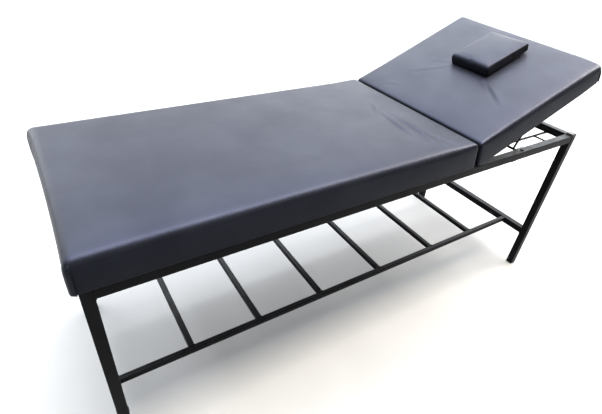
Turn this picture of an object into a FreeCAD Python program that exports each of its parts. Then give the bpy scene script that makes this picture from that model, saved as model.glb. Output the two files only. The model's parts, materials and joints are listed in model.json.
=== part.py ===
"""Massage table: welded tube frame with a slatted shelf, a main pad, a lifting backrest and its stay."""
import FreeCAD, Part
import math
import os

from FreeCAD import Vector

os.makedirs("parts", exist_ok=True)

# Frame sizes, in millimetres
frame_length = 1800.0
frame_width = 636.0
seat_height = 676.0          # top of the side rails, where the pads rest
frame_tube = 28.0            # square tube of legs, rails and crossbars
frame_wall = 1.5
tube_round = 2.5             # outer corners of all square tube
shelf_tube = 18.0
shelf_wall = 1.2
shelf_height = 202.0         # tops of the shelf and of the low crossbars
shelf_inset = 115.0          # side of the frame to side of the shelf
slat_shares = (0.136, 0.266, 0.404, 0.557, 0.716, 0.850)   # hand-welded, so unevenly spaced

# Plugs in the leg ends
plug_depth = 18.0
plug_gap = 0.1
foot_height = 5.0
foot_round = 2.0
cap_height = 8.0
cap_round = 5.0

# Pads: a board, foam and a stretched cover
pad_thickness = 96.0
pad_crown = 5.0
pad_edge_round = 20.0
pad_corner = 24.0
pad_lower_round = 6.0
pad_draw = 3.0               # how far the sides pull in between the corners
draw_at_edges = 0.25         # share of that at the top and bottom edges
edge_turns = (0, 30, 60, 90) # degrees round a top edge, one outline each
pad_lift = 0.3               # soft underside above the rails
foot_overhang = 13.0         # main pad beyond the foot end of the frame
cover_thickness = 2.0
soft_gap = 0.3               # between cover, foam and board
board_thickness = 15.0
board_inset = 9.0            # side of the pad to edge of the board
crown_steps = ((0.20, 0.55), (0.45, 0.90), (0.70, 1.00))   # shares of half the width and of the crown

# Backrest and its hinge
hinge_along = 1226.0         # foot end of the frame to the hinge axis
hinge_drop = 11.0            # hinge axis below the seat
rest_angle = 21.3            # degrees above level, as stored
top_angle = 28.3             # degrees above level, at the highest notch
low_angle = 0.9              # degrees above level, lying on the leg caps
pad_behind_hinge = 18.0
back_reach = 587.0           # hinge axis to the head end of the backrest
joint_gap = 11.5             # between the two pads, as stored
heel_start = 5.0             # where the lower end of the backrest starts to be cut away for the rails
board_start = 8.0            # hinge axis to the near end of the backrest board

# Hinge hardware
hinge_inset = 90.0           # side of the frame to the hinge lug
lug_thickness = 5.0
lug_reach = 22.0             # crossbar face to hinge axis
lug_nose = 9.0
lug_gap = 0.5
bracket_thickness = 4.0
bracket_plate = 3.0
bracket_start = 14.0
bracket_length = 46.0
bracket_width = 30.0
bracket_screw_shares = (0.25, 0.75)
hinge_bolt = 8.0             # diameter
hinge_bolt_head = 13.0       # across flats
hinge_head_height = 5.3
hinge_nut_height = 6.5
running_gap = 0.05           # radial, for what turns

# Prop stay: pivots on the rails, its top rod slides in the racks
stay_length = 242.0          # also the distance from the hinge axis to the stay's pivot
stay_rod = 8.0               # diameter of the pivot rod and the top rod
arm_rod = 7.0                # diameter of the arms
arm_foot_inset = 47.0        # side of the frame to the arm, at the pivot
arm_head_inset = 95.0        # side of the frame to the arm, at the top
stay_end_gap = 0.5
stay_bracket_thickness = 4.0
stay_bracket_width = 54.0
stay_bracket_hang = 28.0     # below the rail
stay_bracket_top = 2.0       # below the seat
stay_bracket_corner = 18.0
stay_screw_spread = 18.0     # pivot to a bracket screw
rest_bar_inset = 102.0
rest_bar_drop = 26.0         # seat to the middle of the bar
rest_bar = 8.0               # diameter
rest_rung = 6.0              # diameter
rung_inset = 113.0           # head end of the frame to the rungs

# Slotted racks under the backrest
rack_inset = 130.0
rack_thickness = 5.0
rack_plate = 3.0
rack_plate_width = 22.0
rack_below = 11.0            # slot's middle to the rack's lower edge
rack_margin = 14.0
slot_gap = 0.4
notch_rise = 2.2
notch_angles = (low_angle, 10.0, rest_angle, top_angle)
rack_lower_round = 6.0

# Rail bumpers
bumper_diameter = 12.0
bumper_height = 3.0

# Screws
screw_diameter = 5.0
screw_head = 10.0
screw_head_height = 3.0
screw_bite = 10.0
screw_gap = 0.2
main_screw_shares = (0.08, 0.36, 0.62)

# Head pillow
pillow_length = 214.0        # along the backrest
pillow_width = 178.0
pillow_thickness = 42.0
pillow_crown = 6.0
pillow_edge_round = 12.0
pillow_corner = 16.0
pillow_lower_round = 8.0
pillow_draw = 4.0
pillow_head_gap = 94.0       # head end of the backrest to the pillow
strip_thickness = 1.5
strip_width = 25.0
strip_length = 150.0
strip_inset = 50.0           # middle line to a strip's middle

# Places that follow from the sizes
foot_x = (foot_overhang - frame_length) / 2
head_x = foot_x + frame_length
half_width = frame_width / 2
inner_half = half_width - frame_tube
rail_line = half_width - frame_tube / 2
rail_bottom = seat_height - frame_tube
hinge_x = foot_x + hinge_along
hinge_z = seat_height - hinge_drop
hinge_point = Vector(hinge_x, 0, hinge_z)
pivot_x = hinge_x + stay_length
lean = math.radians(rest_angle)
heel_rise = (heel_start + pad_behind_hinge) * math.tan(math.radians(top_angle))
pad_sizes = (pad_thickness, pad_crown, pad_edge_round, pad_corner, pad_lower_round, pad_draw)
up = Vector(0, 0, 1)
along_y = Vector(0, 1, 0)
sides = (("near", -1), ("far", 1))
parts = {}


def box(low, high):
    """Solid box between two corners."""
    size = [b - a for a, b in zip(low, high)]
    return Part.makeBox(*size, Vector(*low))


def span(first, second):
    """Two numbers in rising order."""
    return min(first, second), max(first, second)


def rounded_bar(low, high, axis, radius):
    """Square bar with its four long edges rounded."""
    bar = box(low, high)
    long_edges = [e for e in bar.Edges if abs(e.Vertexes[0].Point[axis] - e.Vertexes[1].Point[axis]) > radius]
    return bar.makeFillet(radius, long_edges)


def square_tube(low, high, axis, wall):
    """Hollow square tube with rounded corners, open at both ends, running along one axis."""
    inner_low = [v if i == axis else v + wall for i, v in enumerate(low)]
    inner_high = [v if i == axis else v - wall for i, v in enumerate(high)]
    hollow = rounded_bar(inner_low, inner_high, axis, tube_round - wall)
    return rounded_bar(low, high, axis, tube_round).cut(hollow)


def rod(start, end, diameter):
    """Round rod between the middles of its two end faces."""
    run = end - start
    return Part.makeCylinder(diameter / 2, run.Length, start, run)


def hexagon(middle, axis, across, height):
    """Six-sided prism that starts at middle and runs along axis."""
    corner = across / math.sqrt(3)
    side = Vector(1, 0, 0) if abs(axis.x) < 0.5 else Vector(0, 0, 1)
    other = axis.cross(side)
    angles = [math.radians(60 * i) for i in range(7)]
    points = [middle + side * (corner * math.cos(a)) + other * (corner * math.sin(a)) for a in angles]
    return Part.Face(Part.makePolygon(points)).extrude(axis * height)


def screw(seat, axis, grip):
    """Pan-head screw whose head lies under seat and whose shank runs along axis."""
    head = Part.makeCylinder(screw_head / 2, screw_head_height, seat - axis * screw_head_height, axis)
    return head.fuse(Part.makeCylinder(screw_diameter / 2, grip, seat, axis)).removeSplitter()


def screw_hole(seat, axis, grip):
    """Clearance hole for that screw's shank."""
    return Part.makeCylinder(screw_diameter / 2 + screw_gap, grip + screw_gap, seat, axis)


def raised(shape):
    """Turns a piece of the backrest, drawn lying level, up to its stored angle."""
    turned = shape.copy()
    turned.rotate(hinge_point, Vector(0, -1, 0), rest_angle)
    return turned


def plate_across(points, y_start, thickness):
    """Flat plate with an outline in the X-Z plane, from y_start towards +Y."""
    wire = Part.makePolygon([Vector(x, y_start, z) for x, z in points + points[:1]])
    return Part.Face(wire).extrude(Vector(0, thickness, 0))


# Legs, with the plugs in their ends
def leg_plug(x_low, y_low, z_low, height):
    """Square plug head of the leg's outer size."""
    high = (x_low + frame_tube, y_low + frame_tube, z_low + height)
    return rounded_bar((x_low, y_low, z_low), high, 2, tube_round)


def plug_shank(x_low, y_low, z_low):
    """Part of a plug that sits inside the leg."""
    inset = frame_wall + plug_gap
    high = (x_low + frame_tube - inset, y_low + frame_tube - inset, z_low + plug_depth)
    return rounded_bar((x_low + inset, y_low + inset, z_low), high, 2, tube_round - frame_wall)


def round_face(shape, z_level, radius):
    """Rounds the edges of the level face at one height."""
    edges = [e for e in shape.Edges if all(abs(v.Z - z_level) < plug_gap for v in e.Vertexes)]
    return shape.makeFillet(radius, edges)


for end, leg_x in (("foot", foot_x), ("head", head_x - frame_tube)):
    for side, sign in sides:
        leg_y = span(sign * half_width, sign * inner_half)[0]
        leg_high = (leg_x + frame_tube, leg_y + frame_tube, seat_height)
        parts[f"leg_{end}_{side}"] = square_tube((leg_x, leg_y, foot_height), leg_high, 2, frame_wall)
        foot = round_face(leg_plug(leg_x, leg_y, 0, foot_height), 0, foot_round)
        parts[f"foot_plug_{end}_{side}"] = foot.fuse(plug_shank(leg_x, leg_y, foot_height)).removeSplitter()
        if end == "head":
            cap = leg_plug(leg_x, leg_y, seat_height, cap_height)
            cap = round_face(cap, seat_height + cap_height, cap_round)
            shank = plug_shank(leg_x, leg_y, seat_height - plug_depth)
            parts[f"leg_cap_{side}"] = cap.fuse(shank).removeSplitter()

# Side rails and crossbars
main_screw_x = [foot_x + frame_length * share for share in main_screw_shares]
for side, sign in sides:
    y_low, y_high = span(sign * half_width, sign * inner_half)
    rail_low = (foot_x + frame_tube, y_low, rail_bottom)
    rail = square_tube(rail_low, (head_x - frame_tube, y_high, seat_height), 0, frame_wall)
    for x in main_screw_x:
        rail = rail.cut(screw_hole(Vector(x, sign * rail_line, rail_bottom), up, frame_tube))
    parts[f"side_rail_{side}"] = rail


def crossbar(x_low, z_high):
    """Crossbar between the legs or rails of the two sides."""
    low = (x_low, -inner_half, z_high - frame_tube)
    return square_tube(low, (x_low + frame_tube, inner_half, z_high), 1, frame_wall)


hinge_bar_x = hinge_x - lug_reach - frame_tube
parts["top_crossbar_foot"] = crossbar(foot_x, seat_height)
parts["top_crossbar_head"] = crossbar(head_x - frame_tube, seat_height)
parts["hinge_crossbar"] = crossbar(hinge_bar_x, seat_height)
parts["low_crossbar_foot"] = crossbar(foot_x, shelf_height)
parts["low_crossbar_head"] = crossbar(head_x - frame_tube, shelf_height)

# Shelf under the pads
shelf_half = half_width - shelf_inset
for side, sign in sides:
    y_low, y_high = span(sign * shelf_half, sign * (shelf_half - shelf_tube))
    rail_low = (foot_x + frame_tube, y_low, shelf_height - shelf_tube)
    rail_high = (head_x - frame_tube, y_high, shelf_height)
    parts[f"shelf_rail_{side}"] = square_tube(rail_low, rail_high, 0, shelf_wall)
for number, share in enumerate(slat_shares, start=1):
    slat_x = foot_x + frame_length * share - shelf_tube / 2
    slat_low = (slat_x, shelf_tube - shelf_half, shelf_height - shelf_tube)
    slat_high = (slat_x + shelf_tube, shelf_half - shelf_tube, shelf_height)
    parts[f"shelf_slat_{number}"] = square_tube(slat_low, slat_high, 1, shelf_wall)


# Soft forms, lofted through level outlines
def outline(x_ends, half_y, z, corner, draw):
    """Level outline with rounded corners and sides that pull in by draw at their middles."""
    (x0, x1), y0, y1 = x_ends, -half_y, half_y
    bite = corner * (1 - math.sqrt(0.5))
    x_mid = (x0 + x1) / 2
    bends = (
        ((x0 + corner, y0), (x_mid, y0 + draw), (x1 - corner, y0)),
        ((x1 - corner, y0), (x1 - bite, y0 + bite), (x1, y0 + corner)),
        ((x1, y0 + corner), (x1 - draw, 0), (x1, y1 - corner)),
        ((x1, y1 - corner), (x1 - bite, y1 - bite), (x1 - corner, y1)),
        ((x1 - corner, y1), (x_mid, y1 - draw), (x0 + corner, y1)),
        ((x0 + corner, y1), (x0 + bite, y1 - bite), (x0, y1 - corner)),
        ((x0, y1 - corner), (x0 + draw, 0), (x0, y0 + corner)),
        ((x0, y0 + corner), (x0 + bite, y0 + bite), (x0 + corner, y0)),
    )
    return Part.Wire([Part.Arc(*[Vector(x, y, z) for x, y in bend]).toShape() for bend in bends])


def cushion(ends, half_y, bottom, sizes, shrink=0.0):
    """Crowned cushion. ends(z) gives its two ends at a height, sizes its thickness, crown, edge round,
    corner, lower round and draw, and shrink sets the form back all round."""
    thickness, crown, edge, corner, lower, draw = sizes
    slight = draw * draw_at_edges
    levels = [(lower, 0, slight), (0, lower, slight), (0, heel_rise, slight), (0, thickness / 2, draw)]
    for degrees in edge_turns:
        turn = math.radians(degrees)
        levels.append((edge * (1 - math.cos(turn)), thickness - edge * (1 - math.sin(turn)), slight))
    for across, rise in crown_steps:
        levels.append((edge + across * (half_y - edge), thickness + rise * crown, slight))
    squeeze = 1 - 2 * shrink / (thickness + crown)
    wires = []
    for inset, height, bow in levels:
        z = bottom + shrink + height * squeeze
        x0, x1 = ends(z)
        set_back = inset + shrink
        wires.append(outline((x0 + set_back, x1 - set_back), half_y - set_back, z, corner, bow))
    return Part.makeLoft(wires, True, True)


def upholstery(ends, bottom, board):
    """Cover and foam of a pad that is stretched over a board."""
    pocket = box([v - soft_gap for v in (board.BoundBox.XMin, board.BoundBox.YMin, bottom - pad_lift)],
                 [v + soft_gap for v in (board.BoundBox.XMax, board.BoundBox.YMax, board.BoundBox.ZMax)])
    solids = [cushion(ends, half_width, bottom, pad_sizes, shrink)
              for shrink in (0, cover_thickness, cover_thickness + soft_gap)]
    cover = solids[0].cut(solids[1]).cut(pocket)
    return cover, solids[2].cut(pocket)


# Main pad: board on the rails, foam, cover and the screws from below
def main_ends(z):
    """Foot end, and a head end that runs parallel to the raised backrest."""
    back = pad_behind_hinge + joint_gap + (z - hinge_z) * math.sin(lean)
    return foot_x - foot_overhang, hinge_x - back / math.cos(lean)


board_top = seat_height + board_thickness
main_board_low = (foot_x - foot_overhang + board_inset, board_inset - half_width, seat_height)
main_board = box(main_board_low, (main_ends(board_top)[1] - board_inset, half_width - board_inset, board_top))
parts["main_cover"], parts["main_foam"] = upholstery(main_ends, seat_height + pad_lift, main_board)
main_screws = []
for side, sign in sides:
    for x in main_screw_x:
        seat = Vector(x, sign * rail_line, rail_bottom)
        main_screws.append(screw(seat, up, frame_tube + screw_bite))
        main_board = main_board.cut(screw_hole(seat, up, frame_tube + screw_bite))
parts["main_board"] = main_board
parts["main_board_screws"] = Part.makeCompound(main_screws)

# Hinges: lugs on the crossbar, brackets under the backrest board, a bolt and nut through both
hinge_bolts, hinge_nuts, bracket_screws = [], [], []
for side, sign in sides:
    lug_y = span(sign * (half_width - hinge_inset), sign * (half_width - hinge_inset - lug_thickness))[0]
    bracket_y = lug_y + lug_thickness + lug_gap
    hole = Part.makeCylinder(hinge_bolt / 2 + running_gap, lug_thickness + lug_gap + bracket_thickness,
                             Vector(hinge_x, lug_y, hinge_z), along_y)
    nose = Part.makeCylinder(lug_nose, lug_thickness, Vector(hinge_x, lug_y, hinge_z), along_y)
    root_low = (hinge_x - lug_reach, lug_y, hinge_z - lug_nose)
    root = box(root_low, (hinge_x, lug_y + lug_thickness, hinge_z + lug_nose))
    parts[f"hinge_lug_{side}"] = root.fuse(nose).removeSplitter().cut(hole)

    nose = Part.makeCylinder(lug_nose, bracket_thickness, Vector(hinge_x, bracket_y, hinge_z), along_y)
    bracket_end = hinge_x + bracket_start + bracket_length
    cheek_points = [(hinge_x, hinge_z - lug_nose), (bracket_end, seat_height - bracket_plate),
                    (bracket_end, seat_height), (hinge_x + bracket_start, seat_height),
                    (hinge_x, hinge_z + lug_nose)]
    cheek = plate_across(cheek_points, bracket_y, bracket_thickness)
    plate_low = (hinge_x + bracket_start, bracket_y, seat_height - bracket_plate)
    plate = box(plate_low, (bracket_end, bracket_y + bracket_width, seat_height))
    bracket = nose.fuse(cheek).fuse(plate).removeSplitter().cut(hole)
    for share in bracket_screw_shares:
        seat = Vector(hinge_x + bracket_start + share * bracket_length,
                      bracket_y + (bracket_width + bracket_thickness) / 2, seat_height - bracket_plate)
        bracket = bracket.cut(screw_hole(seat, up, bracket_plate))
        bracket_screws.append((seat, bracket_plate + screw_bite))
    parts[f"hinge_bracket_{side}"] = raised(bracket)

    bolt_grip = lug_thickness + lug_gap + bracket_thickness + hinge_nut_height
    bolt_foot = Vector(hinge_x, lug_y, hinge_z)
    head = hexagon(bolt_foot - along_y * hinge_head_height, along_y, hinge_bolt_head, hinge_head_height)
    hinge_bolts.append(head.fuse(Part.makeCylinder(hinge_bolt / 2, bolt_grip, bolt_foot, along_y)))
    nut_foot = bolt_foot + along_y * (bolt_grip - hinge_nut_height + lug_gap)
    bore = Part.makeCylinder(hinge_bolt / 2 + running_gap, hinge_nut_height, nut_foot, along_y)
    hinge_nuts.append(hexagon(nut_foot, along_y, hinge_bolt_head, hinge_nut_height - lug_gap).cut(bore))
parts["hinge_bolts"] = Part.makeCompound(hinge_bolts)
parts["hinge_nuts"] = Part.makeCompound(hinge_nuts)

# Slotted racks under the backrest board
rack_screws = []
slot_radius = stay_rod / 2 + slot_gap


def slot_place(degrees):
    """Where the stay's top rod lies along the backrest when that stands at an angle."""
    return hinge_x + 2 * stay_length * math.cos(math.radians(degrees))


slot_low, slot_high = slot_place(top_angle), slot_place(low_angle)
rack_low, rack_high = slot_low - slot_radius - rack_margin, slot_high + slot_radius + rack_margin
for side, sign in sides:
    rack_y = span(sign * (half_width - rack_inset), sign * (half_width - rack_inset - rack_thickness))[0]
    plate_y = span(sign * (half_width - rack_inset), sign * (half_width - rack_inset - rack_plate_width))
    web = box((rack_low, rack_y, hinge_z - rack_below), (rack_high, rack_y + rack_thickness, seat_height))
    lower_ends = [e for e in web.Edges if all(v.Z < hinge_z and abs(v.X - e.Vertexes[0].X) < plug_gap
                                              for v in e.Vertexes)]
    web = web.makeFillet(rack_lower_round, lower_ends)
    flange = box((rack_low, plate_y[0], seat_height - rack_plate), (rack_high, plate_y[1], seat_height))
    rack = web.fuse(flange).removeSplitter()
    rack = rack.cut(box((slot_low, rack_y, hinge_z - slot_radius),
                        (slot_high, rack_y + rack_thickness, hinge_z + slot_radius)))
    for degrees in notch_angles:
        for rise in (0, notch_rise):
            middle = Vector(slot_place(degrees), rack_y, hinge_z + rise)
            rack = rack.cut(Part.makeCylinder(slot_radius, rack_thickness, middle, along_y))
    for x in (rack_low + rack_margin, rack_high - rack_margin):
        seat_y = sign * (half_width - rack_inset - (rack_thickness + rack_plate_width) / 2)
        seat = Vector(x, seat_y, seat_height - rack_plate)
        rack = rack.cut(screw_hole(seat, up, rack_plate))
        rack_screws.append((seat, rack_plate + screw_bite))
    parts[f"slot_rack_{side}"] = raised(rack)


# Backrest pad: board, foam and cover, drawn level and then raised
def back_ends(z):
    """Lower end, cut away at the heel so that it clears the rails, and head end."""
    cut_away = max(0, seat_height + pad_lift + heel_rise - z) / math.tan(math.radians(top_angle))
    return hinge_x - pad_behind_hinge + cut_away, hinge_x + back_reach


back_board_low = (hinge_x + board_start, board_inset - half_width, seat_height)
back_board_high = (hinge_x + back_reach - board_inset, half_width - board_inset, board_top)
back_board = box(back_board_low, back_board_high)
back_cover, back_foam = upholstery(back_ends, seat_height + pad_lift, back_board)
for seat, grip in bracket_screws + rack_screws:
    back_board = back_board.cut(screw_hole(seat, up, grip))
parts["back_board"] = raised(back_board)
parts["back_cover"] = raised(back_cover)
parts["back_foam"] = raised(back_foam)
parts["hinge_bracket_screws"] = raised(Part.makeCompound([screw(s, up, g) for s, g in bracket_screws]))
parts["rack_screws"] = raised(Part.makeCompound([screw(s, up, g) for s, g in rack_screws]))

# Head pillow on two grip strips
pad_top = seat_height + pad_lift + pad_thickness + pad_crown
pillow_sizes = (pillow_thickness, pillow_crown, pillow_edge_round, pillow_corner,
                pillow_lower_round, pillow_draw)
pillow_x = hinge_x + back_reach - pillow_head_gap - pillow_length / 2


def pillow_ends(z):
    """Both ends of the pillow, the same at every height."""
    return pillow_x - pillow_length / 2, pillow_x + pillow_length / 2


pillow_forms = [cushion(pillow_ends, pillow_width / 2, pad_top + strip_thickness, pillow_sizes, shrink)
                for shrink in (0, cover_thickness, cover_thickness + soft_gap)]
parts["pillow_cover"] = raised(pillow_forms[0].cut(pillow_forms[1]))
parts["pillow_foam"] = raised(pillow_forms[2])
strips = []
for side, sign in sides:
    strip_low = (pillow_x - strip_length / 2, sign * strip_inset - strip_width / 2, pad_top)
    strips.append(Part.makeBox(strip_length, strip_width, strip_thickness, Vector(*strip_low)))
parts["pillow_strips"] = raised(Part.makeCompound(strips))

# Prop stay: a pivot rod between the rails, two arms and a top rod, at twice the backrest's angle
stay_turn = 2 * lean
top_x = pivot_x + stay_length * math.cos(stay_turn)
top_z = hinge_z + stay_length * math.sin(stay_turn)
pivot_half = inner_half - stay_end_gap
pivot_ends = [Vector(pivot_x, y, hinge_z) for y in (-pivot_half, pivot_half)]
parts["stay_pivot_rod"] = rod(*pivot_ends, stay_rod)
top_half = half_width - arm_head_inset + stay_rod / 2
parts["stay_top_rod"] = rod(*[Vector(top_x, y, top_z) for y in (-top_half, top_half)], stay_rod)
for side, sign in sides:
    arm_foot = Vector(pivot_x, sign * (half_width - arm_foot_inset), hinge_z)
    arm_head = Vector(top_x, sign * (half_width - arm_head_inset), top_z)
    arm = rod(arm_foot, arm_head, arm_rod)
    parts[f"stay_arm_{side}"] = arm.cut(parts["stay_pivot_rod"]).cut(parts["stay_top_rod"])

# Brackets that carry the pivot rod, screwed to the rails
stay_screws = []
for side, sign in sides:
    y_start = span(sign * inner_half, sign * (inner_half - stay_bracket_thickness))[0]
    low = (pivot_x - stay_bracket_width / 2, y_start, rail_bottom - stay_bracket_hang)
    bracket_height = frame_tube + stay_bracket_hang - stay_bracket_top
    bracket = Part.makeBox(stay_bracket_width, stay_bracket_thickness, bracket_height, Vector(*low))
    lower_corners = [e for e in bracket.Edges if all(abs(v.Z - low[2]) < plug_gap for v in e.Vertexes)
                     and abs(e.Vertexes[0].X - e.Vertexes[1].X) < plug_gap]
    bracket = bracket.makeFillet(stay_bracket_corner, lower_corners)
    bore = Part.makeCylinder(stay_rod / 2 + running_gap, stay_bracket_thickness,
                             Vector(pivot_x, y_start, hinge_z), along_y)
    bracket = bracket.cut(bore)
    outward = along_y * sign
    for end in (-1, 1):
        seat = Vector(pivot_x + end * stay_screw_spread, sign * (inner_half - stay_bracket_thickness),
                      rail_bottom + frame_tube / 2)
        grip = stay_bracket_thickness + frame_wall
        bracket = bracket.cut(screw_hole(seat, outward, grip))
        parts[f"side_rail_{side}"] = parts[f"side_rail_{side}"].cut(screw_hole(seat, outward, grip))
        stay_screws.append(screw(seat, outward, grip))
    parts[f"stay_bracket_{side}"] = bracket
parts["stay_bracket_screws"] = Part.makeCompound(stay_screws)

# Rest bars that the folded stay lies over, each tied to its rail by a rung
rung_x = head_x - rung_inset
bar_z = seat_height - rest_bar_drop
for side, sign in sides:
    bar_y = sign * (half_width - rest_bar_inset)
    bar_start = Vector(hinge_bar_x + frame_tube, bar_y, bar_z)
    parts[f"rest_bar_{side}"] = rod(bar_start, Vector(head_x - frame_tube, bar_y, bar_z), rest_bar)
    rung = rod(*[Vector(rung_x, y, bar_z) for y in (sign * inner_half, bar_y)], rest_rung)
    parts[f"rest_rung_{side}"] = rung.cut(parts[f"rest_bar_{side}"])

# Rubber bumpers on the rails
bumpers = []
for side, sign in sides:
    foot = Vector(pivot_x, sign * rail_line, seat_height)
    button = Part.makeCylinder(bumper_diameter / 2, bumper_height, foot, up)
    bumpers.append(round_face(button, seat_height + bumper_height, bumper_height / 2))
parts["rail_bumpers"] = Part.makeCompound(bumpers)

for name, shape in parts.items():
    shape.exportStep(f"parts/{name}.step")
print(len(parts), "nodes")
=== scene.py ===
"""Massage table with a raised backrest, a head pillow and a slatted shelf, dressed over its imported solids."""
import json
import math

import bpy
import numpy as np
from mathutils import Matrix, Vector


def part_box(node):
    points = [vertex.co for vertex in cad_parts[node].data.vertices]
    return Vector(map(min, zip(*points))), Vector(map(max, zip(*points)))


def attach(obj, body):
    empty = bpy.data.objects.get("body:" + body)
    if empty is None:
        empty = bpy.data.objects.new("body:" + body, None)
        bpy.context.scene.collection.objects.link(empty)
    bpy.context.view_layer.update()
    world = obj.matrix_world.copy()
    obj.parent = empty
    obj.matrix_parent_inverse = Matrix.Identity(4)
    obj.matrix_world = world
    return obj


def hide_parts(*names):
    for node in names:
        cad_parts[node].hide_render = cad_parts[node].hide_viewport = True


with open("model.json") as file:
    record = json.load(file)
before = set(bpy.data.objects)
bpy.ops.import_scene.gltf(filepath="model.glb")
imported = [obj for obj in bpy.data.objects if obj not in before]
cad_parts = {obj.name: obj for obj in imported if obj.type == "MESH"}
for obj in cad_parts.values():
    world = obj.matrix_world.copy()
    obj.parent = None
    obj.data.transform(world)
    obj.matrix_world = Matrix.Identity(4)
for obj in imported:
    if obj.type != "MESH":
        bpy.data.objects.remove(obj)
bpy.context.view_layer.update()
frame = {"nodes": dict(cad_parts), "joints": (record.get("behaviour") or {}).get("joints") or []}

# The welded frame: legs, rails, crossbars and shelf of square steel tube, sprayed with black satin enamel.
# The film is slightly rippled like fine orange peel, dulled in patches by hands and thinly scratched.
# The hinges, racks, stay and rest bars are painted with it.


def new_finish(name):
    """A fresh material with its one glossy shader."""
    finish = bpy.data.materials.new(name)
    finish.use_nodes = True
    return finish, finish.node_tree.nodes["Principled BSDF"]


def blotches(finish, per_metre, detail=2.0, stretch=(1.0, 1.0, 1.0)):
    """Cloudy noise from 0 to 1 in the piece's own space, drawn out along an axis where stretch is small."""
    nodes, links = finish.node_tree.nodes, finish.node_tree.links
    place = nodes.new("ShaderNodeTexCoord")
    fit = nodes.new("ShaderNodeMapping")
    cloud = nodes.new("ShaderNodeTexNoise")
    fit.inputs["Scale"].default_value = stretch
    cloud.inputs["Scale"].default_value = per_metre
    cloud.inputs["Detail"].default_value = detail
    links.new(place.outputs["Object"], fit.inputs["Vector"])
    links.new(fit.outputs["Vector"], cloud.inputs["Vector"])
    return cloud.outputs["Fac"]


def spread(finish, value, low, high, start=0.3, end=0.7):
    """Stretches a noise value so that start becomes low and end becomes high."""
    fit = finish.node_tree.nodes.new("ShaderNodeMapRange")
    for socket, number in (("From Min", start), ("From Max", end), ("To Min", low), ("To Max", high)):
        fit.inputs[socket].default_value = number
    finish.node_tree.links.new(value, fit.inputs["Value"])
    return fit.outputs["Result"]


def tint(finish, value, first, last, start=0.35, end=0.65):
    """Runs from one colour to another as a noise value rises."""
    ramp = finish.node_tree.nodes.new("ShaderNodeValToRGB")
    for stop, place, colour in zip(ramp.color_ramp.elements, (start, end), (first, last)):
        stop.position = place
        stop.color = (*colour, 1.0)
    finish.node_tree.links.new(value, ramp.inputs["Fac"])
    return ramp.outputs["Color"]


def mixed(finish, share, first, second):
    """One colour laid over another by a share from 0 to 1."""
    mix = finish.node_tree.nodes.new("ShaderNodeMix")
    mix.data_type = "RGBA"
    links = finish.node_tree.links
    links.new(share, mix.inputs["Factor"])
    links.new(first, mix.inputs["A"])
    links.new(second, mix.inputs["B"])
    return mix.outputs["Result"]


def relief(finish, height, depth, below=None):
    """Fine unevenness of a surface, up to depth metres high, over another relief if one is given."""
    dent = finish.node_tree.nodes.new("ShaderNodeBump")
    dent.inputs["Distance"].default_value = depth
    finish.node_tree.links.new(height, dent.inputs["Height"])
    if below is not None:
        finish.node_tree.links.new(below, dent.inputs["Normal"])
    return dent.outputs["Normal"]


def surface(finish, colour, roughness, unevenness=None):
    """Joins a finish's colour, roughness and relief to its shader."""
    shader = finish.node_tree.nodes["Principled BSDF"]
    finish.node_tree.links.new(colour, shader.inputs["Base Color"])
    finish.node_tree.links.new(roughness, shader.inputs["Roughness"])
    if unevenness is not None:
        finish.node_tree.links.new(unevenness, shader.inputs["Normal"])


def dress(finish, *beginnings):
    """Gives a finish to every solid whose name begins with one of these words."""
    for name, solid in frame["nodes"].items():
        if name.startswith(beginnings):
            solid.data.materials.clear()
            solid.data.materials.append(finish)


enamel, gloss = new_finish("black_enamel")
film_dark, film_light = (0.003, 0.0031, 0.0038), (0.006, 0.0063, 0.0076)
scratch_grey, scratch_run = (0.06, 0.063, 0.07), (1.0, 0.12, 0.2)
gloss.inputs["Specular IOR Level"].default_value = 0.08
film_colour = tint(enamel, blotches(enamel, per_metre=14.0, detail=4.0), film_dark, film_light)
scratches = blotches(enamel, per_metre=260.0, detail=1.0, stretch=scratch_run)
scratch_share = spread(enamel, scratches, low=0.0, high=0.55, start=0.70, end=0.76)
scratch_colour = tint(enamel, blotches(enamel, per_metre=30.0), film_light, scratch_grey, start=0.45, end=0.6)
surface(enamel, mixed(enamel, scratch_share, film_colour, scratch_colour),
        spread(enamel, blotches(enamel, per_metre=22.0, detail=3.0), low=0.26, high=0.44),
        relief(enamel, blotches(enamel, per_metre=420.0), depth=0.0002))
dress(enamel, "leg_foot", "leg_head", "side_rail", "top_crossbar", "low_crossbar", "hinge_crossbar", "shelf_",
      "hinge_lug", "hinge_bracket_near", "hinge_bracket_far", "slot_rack", "stay_", "rest_")

# Welds where the tubes and rods meet: rippled beads of steel laid round each end, painted over with the frame.
# On top of the rails, where the pads lie, they are ground flush.


def new_piece(name, points, quads):
    """A mesh object at the origin made of points and quads, shaded smooth."""
    mesh = bpy.data.meshes.new(name)
    mesh.from_pydata(points.tolist(), [], quads.tolist())
    mesh.polygons.foreach_set("use_smooth", np.ones(len(quads), dtype=bool))
    piece = bpy.data.objects.new(name, mesh)
    bpy.context.scene.collection.objects.link(piece)
    return piece


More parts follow.
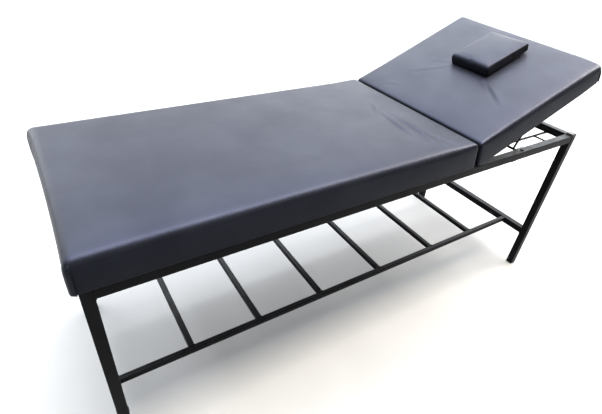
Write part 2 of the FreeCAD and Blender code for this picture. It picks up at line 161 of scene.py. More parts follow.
def weld_bead(low, high, rod, bead, flush_top):
    """Beads round both ends of a tube or rod with this box, each a thin ring carried round the end.

    Going round by an angle, the path is a circle for a rod, or the same circle pushed out to a square for a
    tube. The ring's own radius swells and shrinks along the path as a fine and a broad sine, and is next to
    nothing where the top is ground flush."""
    round_count, ring_count = 96, 8
    fine_waves, fine_share = 31, 0.16
    broad_waves, broad_share, broad_shift = 9, 0.10, 50.0
    top_share, ground_share = 0.9, 0.04
    axis = int(np.argmax(high - low))
    first, second = (axis + 1) % 3, (axis + 2) % 3
    turn, spin = np.meshgrid(np.linspace(0, 2 * np.pi, round_count, endpoint=False),
                             np.linspace(0, 2 * np.pi, ring_count, endpoint=False), indexing="ij")
    outward = np.zeros(turn.shape + (3,))
    outward[..., first], outward[..., second] = np.cos(turn), np.sin(turn)
    path = outward / (1.0 if rod else np.abs(outward).max(axis=-1, keepdims=True))
    fine = fine_share * np.sin(fine_waves * turn)
    broad = broad_share * np.sin(broad_waves * turn + low[first] * broad_shift)
    thick = bead * (1.0 + fine + broad)
    thick = np.where(flush_top & (path[..., 2] > top_share), ground_share * bead, thick)
    along = np.zeros(3)
    along[axis] = 1.0
    ring = np.cos(spin)[..., None] * outward + np.sin(spin)[..., None] * along
    around = path * (high - low) / 2 + thick[..., None] * ring
    place = np.arange(turn.size).reshape(turn.shape)
    next_round, next_ring = np.roll(place, -1, 0), np.roll(place, -1, 1)
    quads = np.stack([place, next_round, np.roll(next_round, -1, 1), next_ring], axis=-1).reshape(-1, 4)
    ends = (low + high) / 2 + np.array([[-0.5], [0.5]]) * (high - low) * along
    points = around.reshape(1, -1, 3) + ends[:, None]
    return points.reshape(-1, 3), np.concatenate([quads, quads + turn.size])


tube_bead, rod_bead = 0.0017, 0.0013
seat_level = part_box("side_rail_near")[1][2]
weld_points, weld_quads = [], []
for name in sorted(frame["nodes"]):
    if name.startswith(("side_rail", "top_crossbar", "hinge_crossbar", "low_crossbar", "shelf_", "rest_")):
        low, high = (np.array(corner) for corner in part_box(name))
        rod = name.startswith("rest_")
        bead = rod_bead if rod else tube_bead
        bead_points, bead_quads = weld_bead(low, high, rod, bead, high[2] > seat_level - tube_bead)
        weld_quads.append(bead_quads + sum(map(len, weld_points)))
        weld_points.append(bead_points)
welds = new_piece("frame_welds", np.concatenate(weld_points), np.concatenate(weld_quads))
welds.data.materials.append(enamel)
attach(welds, "frame")

# Plugs in the leg ends: black moulded plastic, pressed into the open tubes, with a fine matt spark texture.
# They are cloudy with pale scuffs from handling and from the floor.
moulded, _ = new_finish("moulded_plastic")
plastic_dark, plastic_light = (0.014, 0.014, 0.016), (0.035, 0.035, 0.038)
surface(moulded, tint(moulded, blotches(moulded, per_metre=90.0, detail=4.0), plastic_dark, plastic_light),
        spread(moulded, blotches(moulded, per_metre=60.0), low=0.42, high=0.6),
        relief(moulded, blotches(moulded, per_metre=1500.0), depth=0.0001))
dress(moulded, "foot_plug", "leg_cap")

# Boards inside the pads: raw plywood, sawn square, its face veneer running along the table.
# Only their undersides show, the backrest's inside the turned-in edge of its cover.
plywood, _ = new_finish("raw_plywood")
veneer_dark, veneer_light, veneer_run = (0.30, 0.19, 0.10), (0.56, 0.41, 0.25), (0.02, 1.0, 0.02)
grain = blotches(plywood, per_metre=150.0, detail=6.0, stretch=veneer_run)
surface(plywood, tint(plywood, grain, veneer_dark, veneer_light), spread(plywood, grain, low=0.55, high=0.8),
        relief(plywood, grain, depth=0.0004))
dress(plywood, "main_board", "back_board")

# Screws, bolts and nuts: steel, plated with zinc that has a faint cloudy bloom.
# They fix the main board to the rails, and the hinges, the racks and the stay's brackets.
zinc, plate = new_finish("zinc_plate")
zinc_dark, zinc_light = (0.38, 0.38, 0.37), (0.62, 0.62, 0.60)
plate.inputs["Metallic"].default_value = 1.0
surface(zinc, tint(zinc, blotches(zinc, per_metre=500.0, detail=3.0), zinc_dark, zinc_light),
        spread(zinc, blotches(zinc, per_metre=350.0), low=0.25, high=0.5))
dress(zinc, "main_board_screws", "hinge_bolts", "hinge_nuts", "hinge_bracket_screws", "rack_screws",
      "stay_bracket_screws")

# The main pad: foam on its board under one sheet of black upholstery vinyl, stretched over and stapled below.
# Its corners are folded into flat pleats, and the cover is slack enough to crease before the backrest.
# The vinyl has a pebbled grain, and is smoother where it is stretched over the top edge.
vinyl, skin = new_finish("black_vinyl")
vinyl_dark, vinyl_light = (0.005, 0.0052, 0.007), (0.008, 0.0085, 0.011)
skin.inputs["Specular IOR Level"].default_value = 0.20
skin.inputs["Specular Tint"].default_value = (0.55, 0.615, 0.93, 1.0)


def pebbles(finish, per_metre):
    """Pebbled grain: the distance to the nearest of many scattered points."""
    nodes, links = finish.node_tree.nodes, finish.node_tree.links
    place = nodes.new("ShaderNodeTexCoord")
    cells = nodes.new("ShaderNodeTexVoronoi")
    cells.feature = "SMOOTH_F1"
    cells.inputs["Scale"].default_value = per_metre
    links.new(place.outputs["Object"], cells.inputs["Vector"])
    return cells.outputs["Distance"]


tight = vinyl.node_tree.nodes.new("ShaderNodeAttribute")
tight.attribute_name = "stretch"
grain_sheen = vinyl.node_tree.nodes.new("ShaderNodeMath")
grain_sheen.operation = "SUBTRACT"
vinyl.node_tree.links.new(spread(vinyl, blotches(vinyl, per_metre=11.0, detail=5.0), low=0.44, high=0.50),
                          grain_sheen.inputs[0])
vinyl.node_tree.links.new(spread(vinyl, tight.outputs["Fac"], low=0.0, high=0.20, start=0.0, end=1.0),
                          grain_sheen.inputs[1])
hide = relief(vinyl, pebbles(vinyl, per_metre=800.0), depth=0.00025)
surface(vinyl, tint(vinyl, blotches(vinyl, per_metre=7.0, detail=4.0), vinyl_dark, vinyl_light),
        grain_sheen.outputs["Value"],
        relief(vinyl, blotches(vinyl, per_metre=45.0, detail=3.0), depth=0.0003, below=hide))


def grid_lines(low, high, step, edge_band, edge_step):
    """Rising grid lines from low to high: close together in a band at each end, wider between."""
    band = np.linspace(0.0, edge_band, round(edge_band / edge_step) + 1)
    middle_count = round((high - low - 2 * edge_band) / step) + 1
    middle = np.linspace(low + edge_band, high - edge_band, middle_count)
    return np.concatenate([low + band[:-1], middle, (high - band[:-1])[::-1]])


def grid_quads(place):
    """Quads between the neighbours in a grid of point numbers, turning from its rows to its columns."""
    return np.stack([place[:-1, :-1], place[1:, :-1], place[1:, 1:], place[:-1, 1:]], axis=-1).reshape(-1, 4)


def box_skin(lines_x, lines_y, lines_z):
    """Closed skin of a lattice box: a grid of quads on each of its six sides, facing out and sharing edges."""
    shape = (len(lines_x), len(lines_y), len(lines_z))
    place = np.arange(np.prod(shape)).reshape(shape)
    sheets = (place[:, :, -1], place[:, :, 0].T, place[-1], place[0].T, place[:, -1].T, place[:, 0])
    used, quads = np.unique(np.concatenate([grid_quads(sheet) for sheet in sheets]), return_inverse=True)
    i, j, k = np.unravel_index(used, shape)
    return np.stack([lines_x[i], lines_y[j], lines_z[k]], axis=1), quads.reshape(-1, 4)


def pad_skin(low, high):
    """Skin of a pad's lattice box, with lines about 10 mm apart and closer along its edges."""
    step, edge_band = 0.0105, 0.03
    rise_step, rise_band = 0.010, 0.018
    edge_step = 0.006
    return box_skin(grid_lines(low[0], high[0], step, edge_band, edge_step),
                    grid_lines(low[1], high[1], step, edge_band, edge_step),
                    grid_lines(low[2], high[2], rise_step, rise_band, edge_step))


def nearness(distance, reach):
    """1 at a place and beyond it, falling evenly to 0 at reach before it."""
    return np.clip(1.0 - distance / reach, 0.0, 1.0)


def upholstered(points, low, high, top_round, low_round, corner, crown, draw):
    """Pulls a lattice box's skin into a stuffed form.

    Each point has a depth, its distance inside the box's outline, and a height. Near the lower and top edges
    the square corner of depth and height is bent onto a quarter circle by scaling it by its larger part over
    its length. The sides sink by draw at their middles, as a sine up the height. The ring of points at each
    old depth is then scaled to its new depth, the plan's corners are bent onto quarter circles in the same
    way, and the top rises to the crown as a parabola of the distance from each pair of sides. With the points
    comes how far each is stretched over the top edge: the sine of twice its angle on that quarter circle."""
    tiny = 1e-9
    middle, half = (low[:2] + high[:2]) / 2, (high[:2] - low[:2]) / 2
    inside = half - np.abs(points[:, :2] - middle)
    first_depth = inside.min(axis=1)
    depth, height = first_depth.copy(), points[:, 2].copy()
    share_up = (height - low[2]) / (high[2] - low[2])
    low_rise, top_rise = low[2] + low_round - height, height - high[2] + top_round
    for radius, rise, way in ((low_round, low_rise, 1), (top_round, top_rise, -1)):
        across = np.clip(radius - first_depth, 0.0, None)
        up = np.clip(rise, 0.0, None)
        bend = 1.0 - np.maximum(across, up) / np.maximum(np.hypot(across, up), tiny)
        stretch = 2.0 * across * up / np.maximum(across ** 2 + up ** 2, tiny)
        depth = depth + across * bend * (up > 0.0)
        height = height + way * up * bend
    along = 1.0 - (1.0 - inside / half).min(axis=1) ** 2
    depth = depth + draw * along * np.sin(np.pi * share_up)
    first_reach = np.maximum(half - first_depth[:, None], tiny)
    plan = middle + (points[:, :2] - middle) * (half - depth[:, None]) / first_reach
    inset = np.broadcast_to(corner, len(points))[:, None]
    core = np.clip(plan, low[:2] + inset, high[:2] - inset)
    out = plan - core
    plan = core + out * (np.abs(out).max(axis=1) / np.maximum(np.hypot(*out.T), tiny))[:, None]
    fullness = 1.0 - (1.0 - np.clip(inside / half.min(), 0.0, 1.0)) ** 2
    height = height + np.where(share_up > 0.5, crown * fullness.prod(axis=1), 0.0)
    return np.column_stack([plan, height]), stretch


def stretched(piece, stretch):
    """Keeps on each point of a piece how far its cover is stretched, for the vinyl to read."""
    piece.data.attributes.new("stretch", "FLOAT", "POINT").data.foreach_set("value", stretch)


def read_points(piece):
    """The points of a piece's mesh as an array."""
    flat = np.empty(len(piece.data.vertices) * 3)
    piece.data.vertices.foreach_get("co", flat)
    return flat.reshape(-1, 3)


def write_points(piece, points):
    """Puts an array of points back into a piece's mesh."""
    piece.data.vertices.foreach_set("co", points.ravel())


def baked(piece):
    """Puts what a piece's modifiers make of it into its mesh, and takes them off."""
    result = bpy.data.meshes.new_from_object(piece.evaluated_get(bpy.context.evaluated_depsgraph_get()))
    piece.modifiers.clear()
    piece.data = result


def filled(piece, held, firmness, most, frames=20):
    """Blows a cover up from inside as cloth: the foam pulls each point back by its firmness, held ones fast.

    A point keeps its simulated move up to most metres. The result is subdivided once and stays in the mesh."""
    rest = read_points(piece)
    firm = piece.vertex_groups.new(name="firm")
    firm.add(np.flatnonzero(~held).tolist(), firmness, "REPLACE")
    firm.add(np.flatnonzero(held).tolist(), 1.0, "REPLACE")
    cloth = piece.modifiers.new("filling", "CLOTH")
    cloth.settings.quality = 4
    cloth.settings.mass = 0.4
    cloth.settings.tension_stiffness = 20.0
    cloth.settings.compression_stiffness = 20.0
    cloth.settings.bending_stiffness = 4.0
    cloth.settings.use_pressure = True
    cloth.settings.uniform_pressure_force = 4.0
    cloth.settings.vertex_group_mass = "firm"
    cloth.settings.pin_stiffness = 5.0
    cloth.settings.effector_weights.gravity = 0.0
    cloth.point_cache.frame_end = frames
    for step in range(1, frames + 1):
        bpy.context.scene.frame_set(step)
    move = read_points(piece.evaluated_get(bpy.context.evaluated_depsgraph_get())) - rest
    move *= most / np.maximum(np.linalg.norm(move, axis=1, keepdims=True), most)
    write_points(piece, rest + move)
    bpy.context.scene.frame_set(1)
    piece.modifiers.remove(cloth)
    piece.vertex_groups.clear()
    finer = piece.modifiers.new("finer", "SUBSURF")
    finer.levels = finer.render_levels = 1
    baked(piece)


def creased(points, folds):
    """Lift of a level top by folds, each a line from a start to an end, bowed aside, with a width and a depth.

    Across the line the height follows distance over width times a bell curve, scaled to peak at the depth, so
    one flank rises and the other sinks. Along the line it swells and dies away as a sine."""
    lift = np.zeros(len(points))
    for start, end, bow, width, depth in folds:
        start, run = np.array(start), np.subtract(end, start)
        length = np.hypot(*run)
        along = np.clip((points[:, :2] - start) @ run / length ** 2, 0.0, 1.0)
        side = (points[:, 0] - start[0]) * -run[1] / length + (points[:, 1] - start[1]) * run[0] / length
        offset = (side - bow * np.sin(np.pi * along)) / width
        lift += depth * np.sin(np.pi * along) * offset * np.exp(0.5 - offset ** 2) * math.sqrt(2.0)
    return lift


def corner_fold(name, pad, corner, end, side, rise):
    """A flap of the cover folded round an upright corner of a pad, from its end on to its long side.

    Its grid runs along the end to the corner and on along the side, and up the height. It is laid on the pad's
    nearest surface, then raised evenly along the way from under the cover to its free edge, and sunk again
    towards the top by a high power of the height."""
    tuck, wrap, lift, thickness = 0.055, 0.012, 0.0036, 0.0018
    way_count, up_count = 28, 18
    hidden_share, top_sink, top_power = 0.3, 2.0, 6
    way, up = np.meshgrid(np.linspace(-tuck, wrap, way_count), np.linspace(0.0, 1.0, up_count), indexing="ij")
    spot = np.stack([corner[0] - end * np.clip(way, 0.0, None), corner[1] - side * np.clip(-way, 0.0, None),
                     corner[2] + rise * up], axis=-1)
    quads = grid_quads(np.arange(way.size).reshape(way.shape))
    flap = new_piece(name, spot.reshape(-1, 3), quads if end * side > 0 else quads[:, ::-1])
    flap.modifiers.new("laid", "SHRINKWRAP").target = pad
    baked(flap)
    round_corner = np.clip(way / wrap + 0.5, 0.0, 1.0)
    outward = np.stack([end * (1.0 - round_corner), side * round_corner, np.zeros_like(way)], axis=-1)
    outward /= np.linalg.norm(outward, axis=-1, keepdims=True)
    share = (way + tuck) / (tuck + wrap)
    stand = lift * (share * (1.0 + hidden_share) - hidden_share) - top_sink * lift * up ** top_power
    write_points(flap, read_points(flap) + (outward * stand[..., None]).reshape(-1, 3))
    flap.modifiers.new("thick", "SOLIDIFY").thickness = thickness
    baked(flap)
    flap.data.materials.append(vinyl)
    return flap


pad_low, pad_high = (np.array(corner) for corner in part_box("main_cover"))
hinge = np.array(next(j["pos_m"] for j in frame["joints"] if j["name"] == "backrest_hinge"))
lean = math.radians(21.3)
pad_thickness, pad_crown, pad_draw = 0.096, 0.004, 0.003
pad_corner, joint_corner = 0.016, 0.007
pad_edge, joint_edge, joint_reach, pad_hem = 0.026, 0.014, 0.15, 0.006
swell, joint_slack = 0.0015, 0.002
near_spill, near_settle, settle_width = 0.007, 0.007, 0.09
foot_spill, foot_ear, foot_skew, foot_reach = 0.001, 0.004, 0.004, 0.12
foot_droop, droop_run = 0.005, 0.012
held_height, pad_firmness, pad_swelling = 0.012, 0.12, 0.005
top_share = 0.6
main_low = pad_low + [-foot_spill, swell - near_spill, 0.0]
main_high = np.array([pad_high[0] - joint_slack, pad_high[1] - swell, pad_low[2] + pad_thickness - swell])
main_points, main_quads = pad_skin(main_low, main_high)
near_joint = nearness(main_high[0] - main_points[:, 0], joint_reach)
edge_round = pad_edge + (joint_edge - pad_edge) * near_joint
corner_round = pad_corner + (joint_corner - pad_corner) * near_joint
main_form, main_stretch = upholstered(main_points, main_low, main_high, edge_round, pad_hem, corner_round,
                                      pad_crown, pad_draw)
main_form[:, 0] -= math.tan(lean / 2) * (main_form[:, 2] - main_low[2]) * near_joint
near_foot = nearness(main_form[:, 0] - main_low[0], foot_reach) ** 2
side_share = main_form[:, 1] / main_high[1]
main_form[:, 0] -= near_foot * (foot_ear * side_share ** 4 + foot_skew * side_share)
frame_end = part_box("leg_foot_near")[0][0]
overhang = np.clip((frame_end - main_form[:, 0]) / droop_run, 0.0, 1.0)
main_form[:, 2] -= foot_droop * overhang * (main_high[2] - main_form[:, 2]) / pad_thickness
near_edge = nearness(main_form[:, 1] - main_low[1], settle_width) ** 2
settled = near_settle * near_edge * (main_form[:, 2] - main_low[2]) / pad_thickness
main_form[:, 2] -= settled * (1.0 - near_joint)
main_pad = new_piece("main_pad", main_form, main_quads)
stretched(main_pad, main_stretch)
main_held = (main_form[:, 2] < main_low[2] + held_height) | (main_points[:, 0] == main_high[0])
filled(main_pad, main_held, pad_firmness, pad_swelling)
main_form = read_points(main_pad)
# Each fold's start and end on the plan, its bow, its width and its depth.
main_folds = (
    ((0.128, 0.005), (0.098, -0.235), -0.004, 0.009, 0.0034),
    ((0.150, -0.015), (0.128, -0.300), 0.006, 0.009, 0.0034),
    ((0.150, 0.060), (0.092, -0.030), 0.003, 0.009, 0.0026),
    ((0.158, -0.205), (0.205, -0.305), 0.002, 0.011, 0.0022),
)
on_top = main_form[:, 2] > main_low[2] + top_share * pad_thickness
main_form[:, 2] += np.where(on_top, creased(main_form, main_folds), 0.0)
write_points(main_pad, main_form)
main_pad.data.materials.append(vinyl)
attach(main_pad, "frame")
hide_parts("main_cover", "main_foam")
foot_fold_start, foot_fold_rise = 0.002, 0.092
for fold_name, side in (("foot_fold_near", -1), ("foot_fold_far", 1)):
    fold_corner = (main_low[0], main_high[1] if side > 0 else main_low[1], main_low[2] + foot_fold_start)
    foot_fold = corner_fold(fold_name, main_pad, fold_corner, -1, side, foot_fold_rise)
    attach(foot_fold, "frame")

# The backrest pad: foam and vinyl like the main pad's, on a board that turns on the hinges.
# Its heel is cut away below, the cover creases out from the pillow, and the filling has settled thinner
# towards the head.


def raised(points):
    """Turns points drawn level, from the hinge axis, up to the stored angle."""
    along, across, up = points.T
    return np.column_stack([hinge[0] + along * math.cos(lean) - up * math.sin(lean), across,
                            hinge[2] + along * math.sin(lean) + up * math.cos(lean)])


back_start, back_end, back_base = -0.018, 0.600, 0.0113
heel_rise, heel_slope = 0.0124, math.tan(math.radians(28.3))
back_spill_near, back_spill_far, back_edge = 0.003, 0.010, 0.018
head_settle, head_twist, head_corner, head_hem, head_reach = 0.005, 0.014, 0.024, 0.018, 0.10
back_low = np.array([back_start, pad_low[1] + swell - back_spill_near, back_base])
back_high = np.array([back_end - swell, pad_high[1] + back_spill_far, back_base + pad_thickness - swell])
back_points, back_quads = pad_skin(back_low, back_high)
near_joint = nearness(back_points[:, 0] - back_low[0], joint_reach)
edge_round = back_edge + (joint_edge - back_edge) * near_joint
corner_round = head_corner + (joint_corner - head_corner) * near_joint
near_head = nearness(back_high[0] - back_points[:, 0], head_reach)
hem_round = pad_hem + (head_hem - pad_hem) * near_head
back_form, back_stretch = upholstered(back_points, back_low, back_high, edge_round, hem_round, corner_round,
                                      pad_crown, pad_draw)
back_form[:, 0] += np.clip(heel_rise + back_base - back_form[:, 2], 0.0, None) / heel_slope * near_joint
back_form[:, 0] += math.tan(lean / 2) * (back_form[:, 2] - back_base) * near_joint
share_up = (back_form[:, 2] - back_low[2]) / pad_thickness
towards_head = np.clip(back_form[:, 0] / back_end, 0.0, 1.0)
back_form[:, 2] -= share_up * towards_head * (head_settle - head_twist * back_form[:, 1] / back_high[1])
near_edge = nearness(back_form[:, 1] - back_low[1], settle_width) ** 2
back_form[:, 2] -= near_settle * near_edge * share_up * (1.0 - near_joint)
back_pad = new_piece("back_pad", back_form, back_quads)
stretched(back_pad, back_stretch)
back_held = (back_form[:, 2] < back_low[2] + held_height) | (back_points[:, 0] == back_low[0])
filled(back_pad, back_held, pad_firmness, pad_swelling)
back_form = read_points(back_pad)
# The same for the backrest drawn level, measured from the hinge axis.
back_folds = (
    ((0.275, -0.070), (0.175, -0.235), 0.004, 0.012, 0.0034),
    ((0.145, 0.190), (0.285, 0.055), -0.006, 0.011, 0.0009),
    ((0.250, 0.170), (0.285, 0.080), 0.002, 0.010, 0.0006),
    ((0.040, 0.205), (0.066, 0.138), 0.002, 0.010, 0.0006),
)
on_top = back_form[:, 2] > back_low[2] + top_share * pad_thickness
back_form[:, 2] += np.where(on_top, creased(back_form, back_folds), 0.0)
write_points(back_pad, back_form)
head_fold_start, head_fold_rise, head_fold_skew = 0.006, 0.072, 0.016
for fold_name, side in (("head_fold_near", -1), ("head_fold_far", 1)):
    fold_corner = (back_high[0], back_high[1] if side > 0 else back_low[1], back_low[2] + head_fold_start)
    head_fold = corner_fold(fold_name, back_pad, fold_corner, 1, side, head_fold_rise + head_fold_skew * side)
    write_points(head_fold, raised(read_points(head_fold)))
    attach(head_fold, "backrest")
write_points(back_pad, raised(back_form))
back_pad.data.materials.append(vinyl)
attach(back_pad, "backrest")
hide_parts("back_cover", "back_foam")

# The backrest's hem: the edge of the vinyl cover, turned in under the board on three sides and cut by hand.
# A row of wire staples holds it to the plywood, and its outer edge is tucked up into the cover.
hem_width, hem_thickness, hem_start, hem_inset = 0.040, 0.0004, 0.045, 0.004
side_count, head_count, hem_rows = 40, 44, 8
board_proud = 0.0003
board_low = back_base - board_proud


def hem_line(inset):
    """A line up one side of the board, over its head end and down the other, so far in from the outline."""
    side, head = pad_high[1] - inset, back_end - (head_hem - pad_hem) - inset
    up_side = np.linspace(hem_start, head, side_count)
    over_head = np.linspace(-side, side, head_count + 2)[1:-1]
    along = np.concatenate([up_side, np.full(head_count, head), up_side[::-1]])
    across = np.concatenate([np.full(side_count, -side), over_head, np.full(side_count, side)])
    return np.column_stack([along, across])


def hem_ribbon():
    """A ribbon in even rows from the outer line to the inner one, under the board.

    Its width wanders along the line as a short and a long sine, and its outermost row is tucked up."""
    short_wander, short_pace = 0.0008, 0.9
    long_wander, long_pace = 0.0014, 0.27
    tuck = 0.0012
    outer, inner = hem_line(hem_inset), hem_line(hem_inset + hem_width)
    count = np.arange(len(inner))
    wander = short_wander * np.sin(count * short_pace) + long_wander * np.sin(count * long_pace)
    share = np.linspace(0.0, 1.0, hem_rows)[None, :, None]
    plan = outer[:, None] + (inner - outer)[:, None] * share * (1.0 + wander[:, None, None] / hem_width)
    rise = tuck * np.clip(1.0 - share * (hem_rows - 1), 0.0, 1.0) * np.ones(plan.shape[:2] + (1,))
    points = np.concatenate([plan, board_low - hem_thickness + rise], axis=-1)
    return points.reshape(-1, 3), grid_quads(np.arange(plan.shape[0] * hem_rows).reshape(-1, hem_rows).T)


def staple_row():
    """Staples along the hem, each a box whose square section is pulled in to a circle and then flattened.

    Each is turned to the line's own direction, and askew by a sine of its number."""
    size, counts = np.array([0.011, 0.0013, 0.0005]), (7, 4, 4)
    width_share, every = 0.6, 3
    askew, askew_pace = 0.25, 2.1
    wire, wire_quads = box_skin(*[np.linspace(-0.5, 0.5, count) for count in counts])
    wire[:, 1:] /= np.maximum(1.0, np.hypot(wire[:, 1], wire[:, 2]) * 2.0)[:, None]
    length, width, height = (wire * size).T
    line = hem_line(hem_inset + width_share * hem_width)[1::every]
    off_line = askew * np.sin(np.arange(len(line)) * askew_pace)
    heading = np.arctan2(*np.gradient(line, axis=0).T[::-1]) + off_line
    cosine, sine = np.cos(heading)[:, None], np.sin(heading)[:, None]
    along = length * cosine - width * sine + line[:, :1]
    across = length * sine + width * cosine + line[:, 1:]
    up = np.broadcast_to(height + board_low - hem_thickness, along.shape)
    points = np.stack([along, across, up], axis=-1)
    offsets = np.arange(len(line))[:, None, None] * len(wire)
    return points.reshape(-1, 3), (wire_quads + offsets).reshape(-1, 4)


hem_points, hem_quads = hem_ribbon()
hem = new_piece("back_hem", raised(hem_points), hem_quads)
hem.modifiers.new("thick", "SOLIDIFY").thickness = hem_thickness
baked(hem)
hem.data.materials.append(vinyl)
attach(hem, "backrest")
staple_points, staple_quads = staple_row()
staples = new_piece("back_staples", raised(staple_points), staple_quads)
staples.data.materials.append(zinc)
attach(staples, "backrest")

# The head pillow: a small block of soft foam in a loose vinyl slip, lying on two grip strips.
# Its edge is rounder towards the foot of the table, and it thins towards the head.
pillow_size = np.array([0.224, 0.180, 0.042])
pillow_middle, strip_gap, pillow_swell = 0.391, 0.0065, 0.002
pillow_step, pillow_edge, pillow_roll, roll_reach = 0.006, 0.008, 0.009, 0.06
pillow_hem, pillow_corner, pillow_crown, pillow_draw = 0.006, 0.010, 0.004, 0.003
pillow_thinning, pillow_held, pillow_firmness, pillow_swelling = 0.009, 0.004, 0.06, 0.004
pillow_base = np.array([pillow_middle, 0.0, back_base + pad_thickness + strip_gap])
pillow_low = pillow_base - pillow_size * [0.5, 0.5, 0.0]
pillow_high = pillow_low + pillow_size
block_low, block_high = pillow_low + [pillow_swell, pillow_swell, 0.0], pillow_high - pillow_swell
pillow_points, pillow_quads = box_skin(*[np.linspace(start, end, round((end - start) / pillow_step) + 1)
                                         for start, end in zip(block_low, block_high)])
pillow_round = pillow_edge + pillow_roll * nearness(pillow_points[:, 0] - pillow_low[0], roll_reach)
pillow_form, _ = upholstered(pillow_points, block_low, block_high, pillow_round, pillow_hem, pillow_corner,
                             pillow_crown, pillow_draw)
pillow_share = (pillow_form - pillow_low) / pillow_size
pillow_form[:, 2] -= pillow_thinning * pillow_share[:, 2] * pillow_share[:, 0]
pillow = new_piece("head_pillow", pillow_form, pillow_quads)
filled(pillow, pillow_form[:, 2] < pillow_low[2] + pillow_held, pillow_firmness, pillow_swelling)
write_points(pillow, raised(read_points(pillow)))
pillow.data.materials.append(vinyl)
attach(pillow, "backrest")
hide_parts("pillow_cover", "pillow_foam")

# Grip strips under the pillow: black hook tape with a short fuzzy pile.
# They lie between the two covers and keep the pillow from sliding down the backrest.
pile, _ = new_finish("grip_tape")
pile_dark, pile_light = (0.012, 0.012, 0.013), (0.035, 0.035, 0.037)
surface(pile, tint(pile, blotches(pile, per_metre=900.0, detail=4.0), pile_dark, pile_light),
        spread(pile, blotches(pile, per_metre=700.0), low=0.8, high=0.95),
        relief(pile, pebbles(pile, per_metre=1200.0), depth=0.0006))
dress(pile, "pillow_strips")

# Rail bumpers: small buttons of black rubber on the side rails of the head bay.
# The backrest comes down on them.
rubber, _ = new_finish("black_rubber")
rubber_dark, rubber_light = (0.008, 0.008, 0.008), (0.02, 0.02, 0.02)
surface(rubber, tint(rubber, blotches(rubber, per_metre=400.0, detail=3.0), rubber_dark, rubber_light),
        spread(rubber, blotches(rubber, per_metre=300.0), low=0.65, high=0.85))
dress(rubber, "rail_bumpers")

# The stage: a plain pale floor under a sky with soft bright patches, which give the vinyl its sheen.
# In place of the sky the camera sees a plain pale backdrop, and one long warm strip light hangs overhead.
floor_reach = 30.0
floor_plan = np.array([[-1.0, -1.0, 0.0], [1.0, -1.0, 0.0], [1.0, 1.0, 0.0], [-1.0, 1.0, 0.0]])
floor = new_piece("floor", floor_plan * floor_reach, np.array([[0, 1, 2, 3]]))
paper, matt = new_finish("pale_floor")
floor_dark, floor_light = (0.17, 0.17, 0.17), (0.178, 0.178, 0.178)
floor_colour = tint(paper, blotches(paper, per_metre=3.0), floor_dark, floor_light)
paper.node_tree.links.new(floor_colour, matt.inputs["Base Color"])
matt.inputs["Roughness"].default_value = 0.9
matt.inputs["Specular IOR Level"].default_value = 0.1
floor.data.materials.append(paper)
sky = bpy.data.worlds.new("studio_sky")
sky.use_nodes = True
background = sky.node_tree.nodes["Background"]
background.inputs["Color"].default_value = (0.93, 0.965, 1.0, 1.0)
bpy.context.scene.world = sky


def glow(below, azimuth, rise, strength, reach=50.0):
    """Adds a soft bright patch of sky, brightest in one direction and fading out at a reach from it.

    Its strength follows a smooth step of the cosine of the angle from that direction, all given in degrees."""
    azimuth, rise, reach = np.radians([azimuth, rise, reach])
    nodes, links = sky.node_tree.nodes, sky.node_tree.links
    place = nodes.new("ShaderNodeTexCoord")
    toward = nodes.new("ShaderNodeVectorMath")
    toward.operation = "DOT_PRODUCT"
    level = np.cos(rise)
    toward.inputs[1].default_value = (level * np.cos(azimuth), level * np.sin(azimuth), np.sin(rise))
    fade = nodes.new("ShaderNodeMapRange")
    fade.interpolation_type = "SMOOTHSTEP"
    fade.inputs["From Min"].default_value = np.cos(reach)
    fade.inputs["To Max"].default_value = strength
    total = nodes.new("ShaderNodeMath")
    links.new(place.outputs["Generated"], toward.inputs[0])
    links.new(toward.outputs["Value"], fade.inputs["Value"])
    links.new(fade.outputs["Result"], total.inputs[0])
    links.new(below, total.inputs[1])
    return total.outputs["Value"]


even_strength, backdrop_strength = 0.2, 1.15
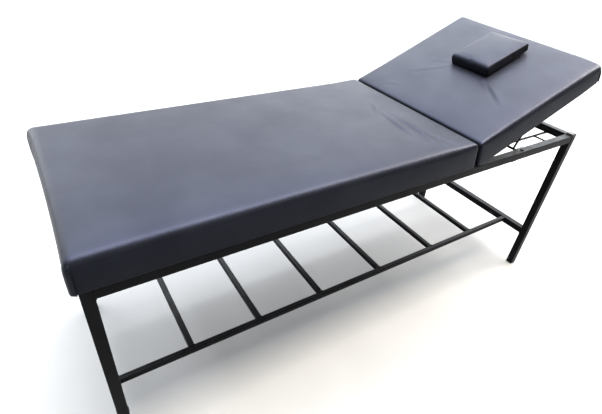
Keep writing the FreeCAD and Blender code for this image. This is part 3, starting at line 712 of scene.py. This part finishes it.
# Each glow's direction round the table and up from level, and its strength.
sky_glows = ((6.0, 30.0, 2.0), (36.0, 30.0, 4.0), (96.0, 30.0, 2.0),
             (126.0, 30.0, 3.0), (96.0, 78.0, 15.0), (-110.0, 50.0, 0.6))
even_sky = sky.node_tree.nodes.new("ShaderNodeValue")
even_sky.outputs["Value"].default_value = even_strength
sky_light = even_sky.outputs["Value"]
for azimuth, rise, strength in sky_glows:
    sky_light = glow(sky_light, azimuth, rise, strength)
seen = sky.node_tree.nodes.new("ShaderNodeLightPath")
backdrop = sky.node_tree.nodes.new("ShaderNodeMix")
backdrop.inputs["B"].default_value = backdrop_strength
sky.node_tree.links.new(seen.outputs["Is Camera Ray"], backdrop.inputs["Factor"])
sky.node_tree.links.new(sky_light, backdrop.inputs["A"])
sky.node_tree.links.new(backdrop.outputs["Result"], background.inputs["Strength"])
lamp = bpy.data.lights.new("strip_light", "AREA")
lamp.shape = "RECTANGLE"
lamp.size, lamp.size_y, lamp.energy = 6.0, 0.8, 640.0
lamp.color = (1.0, 0.90, 0.76)
strip = bpy.data.objects.new("strip_light", lamp)
strip.location = (1.8, -0.78, 3.97)
bpy.context.scene.collection.objects.link(strip)
bpy.context.scene.view_settings.view_transform = "Standard"
bpy.context.scene.view_settings.gamma = 0.85

# The camera stands at the foot end, 0.7 m out from the near side and 1.34 m up, and looks down the table.
# Its place, turn and lens were worked out from the straight edges of the frame.
photo_width, focal_pixels = 602.0, 427.314
eye_place = (-0.867745, -1.026854, 1.340321)
view_right, view_up = Vector((0.84852, -0.52402, 0.07359)), Vector((0.25361, 0.52477, 0.81259))
eye = bpy.data.cameras.new("photo_camera")
eye.sensor_fit = "HORIZONTAL"
eye.sensor_width = 36.0
eye.lens = focal_pixels / photo_width * eye.sensor_width
camera = bpy.data.objects.new("photo_camera", eye)
view_turn = Matrix((view_right, view_up, view_right.cross(view_up))).transposed()
camera.matrix_world = Matrix.Translation(eye_place) @ view_turn.to_4x4()
bpy.context.scene.collection.objects.link(camera)
bpy.context.scene.camera = camera
